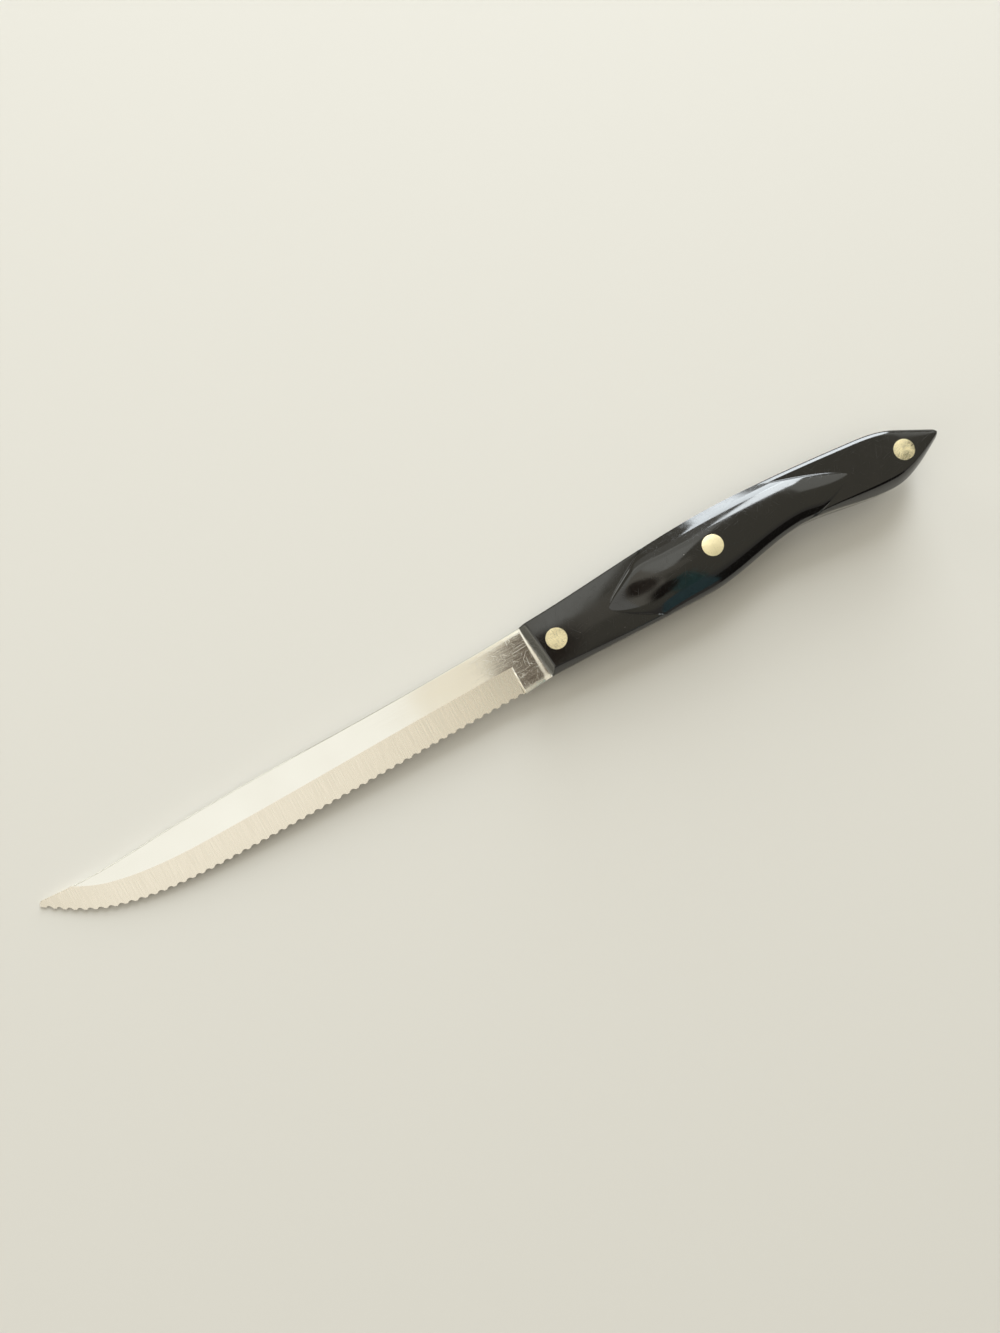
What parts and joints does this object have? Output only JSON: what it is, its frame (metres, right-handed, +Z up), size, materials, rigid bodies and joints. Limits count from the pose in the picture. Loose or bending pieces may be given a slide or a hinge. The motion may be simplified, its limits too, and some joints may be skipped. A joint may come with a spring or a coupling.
{
  "type": "carving knife",
  "caption": "Carving knife with a scalloped steel blade on a full tang, riveted between two black moulded handle scales with a swelled grip and a hooked tail.",
  "frame": {"origin": "centre of the bounding box, on the surface that the knife lies on", "axes": "+X from the tip to the tail of the handle, +Y from the cutting edge to the back, +Z up out of the knife's left side"},
  "size_m": [0.3172, 0.0246, 0.0196],
  "materials": {
    "blade_steel": "polished flats, fine satin grind",
    "handle_resin": "glossy moulded resin, lightly worn",
    "rivet_metal": "nickel silver, ground flush"
  },
  "bodies": {
    "root": {"blade_and_tang": "blade_steel", "handle_scale_left": "handle_resin", "handle_scale_right": "handle_resin", "rivet_front_post": "rivet_metal", "rivet_front_sleeve": "rivet_metal", "rivet_middle_post": "rivet_metal", "rivet_middle_sleeve": "rivet_metal", "rivet_rear_post": "rivet_metal", "rivet_rear_sleeve": "rivet_metal"}
  },
  "joints": []
}
